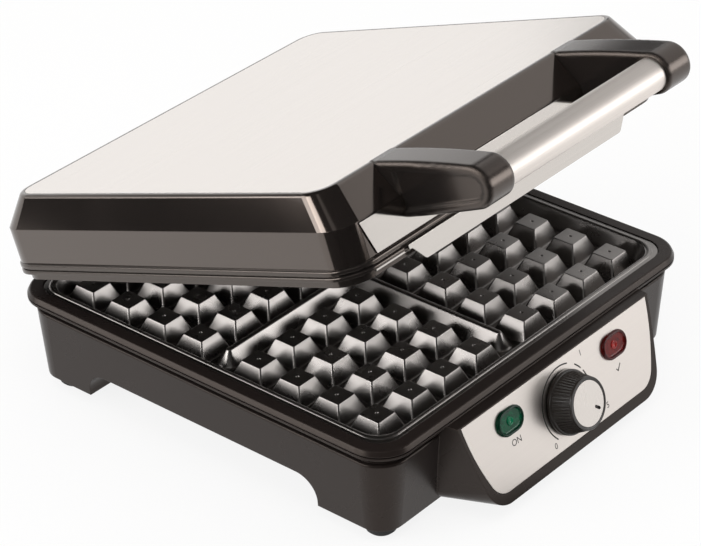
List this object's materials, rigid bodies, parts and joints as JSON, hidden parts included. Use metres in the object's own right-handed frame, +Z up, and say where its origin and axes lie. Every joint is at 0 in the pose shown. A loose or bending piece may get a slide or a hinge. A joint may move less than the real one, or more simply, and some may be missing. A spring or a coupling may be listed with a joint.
{
  "type": "waffle maker",
  "caption": "Square electric waffle maker: pinned cooking plates in a black base and hinged steel-topped lid, bar handle on two arms, sloping control panel with dial and lamps.",
  "frame": {"origin": "on the floor under the middle of the whole part's box, with the lid ajar as at rest", "axes": "+Z up, the handle, dial and lamps face -Y, the hinge is at +Y, +X to the right of someone facing the panel"},
  "size_m": [0.258, 0.3052, 0.2084],
  "materials": {
    "base_plastic": "satin, fine moulded grain",
    "foot_rubber": "matt",
    "nonstick": "satin non-stick coating",
    "heater_steel": "heat-tinted",
    "reflector_sheet": "bright rolled sheet",
    "panel_steel": "satin brushed",
    "green_lens": "clear tinted",
    "red_lens": "clear tinted",
    "bulb_glass": "clear",
    "thermostat_case": "matt",
    "fuse_metal": "plain",
    "block_ceramic": "matt",
    "gland_rubber": "matt",
    "pin_steel": "ground",
    "knob_plastic": "satin",
    "cap_metal": "spun satin",
    "lid_ring_plastic": "half gloss",
    "lid_plastic": "high gloss",
    "lid_steel": "satin brushed",
    "trim_steel": "polished",
    "arm_plastic": "half gloss",
    "bar_steel": "polished",
    "screw_steel": "zinc plated"
  },
  "bodies": {
    "base": {"base_housing": "base_plastic", "bottom_cover": "base_plastic", "rubber_feet": "foot_rubber", "lower_plate": "nonstick", "lower_heater": "heater_steel", "lower_reflector": "reflector_sheet", "control_faceplate": "panel_steel", "power_lens": "green_lens", "ready_lens": "red_lens", "power_bulb": "bulb_glass", "ready_bulb": "bulb_glass", "thermostat": "thermostat_case", "thermal_fuse": "fuse_metal", "terminal_block": "block_ceramic", "cord_gland": "gland_rubber", "hinge_pins": "pin_steel"},
    "dial": {"knob": "knob_plastic", "knob_cap": "cap_metal", "spindle": "pin_steel"},
    "lid": {"lid_ring": "lid_ring_plastic", "lid_cover": "lid_plastic", "lid_top_plate": "lid_steel", "front_trim": "trim_steel", "front_apron": "trim_steel", "upper_plate": "nonstick", "upper_heater": "heater_steel", "upper_reflector": "reflector_sheet", "handle_arm_left": "arm_plastic", "handle_arm_right": "arm_plastic", "handle_bar": "bar_steel", "handle_screws": "screw_steel"}
  },
  "joints": [
    {"name": "lid_hinge", "type": "hinge", "parent": "base", "child": "lid", "pos_m": [0, 0.146, 0.061], "axis": [-1, 0, 0], "range_deg": [-19.7, 75.3]},
    {"name": "dial_turn", "type": "hinge", "parent": "base", "child": "dial", "pos_m": [0, -0.13434, 0.03375], "axis": [0, -0.9426, 0.3338], "range_deg": [0, 282]}
  ]
}
